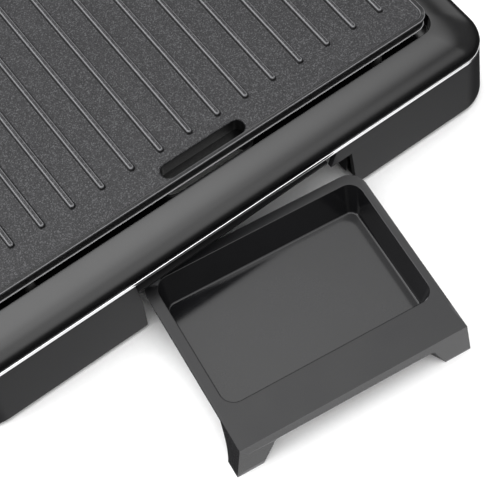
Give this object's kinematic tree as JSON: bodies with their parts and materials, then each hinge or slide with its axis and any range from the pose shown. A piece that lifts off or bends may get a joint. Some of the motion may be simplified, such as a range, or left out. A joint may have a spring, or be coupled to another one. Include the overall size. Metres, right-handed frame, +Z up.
{
  "type": "electric griddle",
  "caption": "Tabletop electric griddle: ribbed non-stick plate with a drain slot on a flared casing, plug-in inlet at one side, and a drip tray drawn out in front.",
  "frame": {"origin": "on the table, in the middle of the ground that the griddle and its drawn tray cover", "axes": "+Z up, +X to the right along the front, -Y towards the user and the drawn tray"},
  "size_m": [0.4138, 0.4338, 0.0755],
  "materials": {
    "casing": "satin moulded, dark grey",
    "frame": "high gloss moulded, black",
    "trim": "bright plated",
    "tray": "semi gloss moulded, dark grey",
    "liner": "matt moulded, black",
    "plate": "speckled non-stick coating on cast aluminium",
    "steel": "bright sheet and rod",
    "feet": "matt moulded rubber",
    "rests": "matt ceramic"
  },
  "bodies": {
    "base": {"bay_screw_1": "steel", "bay_screw_2": "steel", "bay_screw_3": "steel", "bay_screw_4": "steel", "bottom_cover": "liner", "cover_screw_1": "steel", "cover_screw_2": "steel", "cover_screw_3": "steel", "cover_screw_4": "steel", "cover_screw_5": "steel", "cover_screw_6": "steel", "drain_chute": "liner", "foot_1": "feet", "foot_2": "feet", "foot_3": "feet", "foot_4": "feet", "plate_rest_1": "rests", "plate_rest_2": "rests", "plate_rest_3": "rests", "plate_rest_4": "rests", "reflector_pan": "steel", "skirt_housing": "casing", "top_frame": "frame", "tray_bay": "liner", "tray_rail_left": "liner", "tray_rail_right": "liner", "trim_band": "trim"},
    "plate": {"contact_pin_left": "steel", "contact_pin_right": "steel", "earth_pin": "steel", "element_clip_1": "steel", "element_clip_2": "steel", "element_clip_3": "steel", "element_clip_4": "steel", "element_clip_5": "steel", "element_clip_6": "steel", "grill_plate": "plate", "guard_screw_1": "steel", "guard_screw_2": "steel", "heating_element": "steel", "probe_sleeve": "steel", "terminal_guard": "liner"},
    "tray": {"drip_tray": "tray"}
  },
  "joints": [
    {"name": "plate_lift", "type": "slide", "parent": "base", "child": "plate", "axis": [0, 0, 1], "range_m": [0, 0.06]},
    {"name": "tray_draw", "type": "hinge", "parent": "base", "child": "tray", "pos_m": [-0.9529, -0.02703, 0], "axis": [0, 0, 1], "range_deg": [-2, 7.2]}
  ]
}
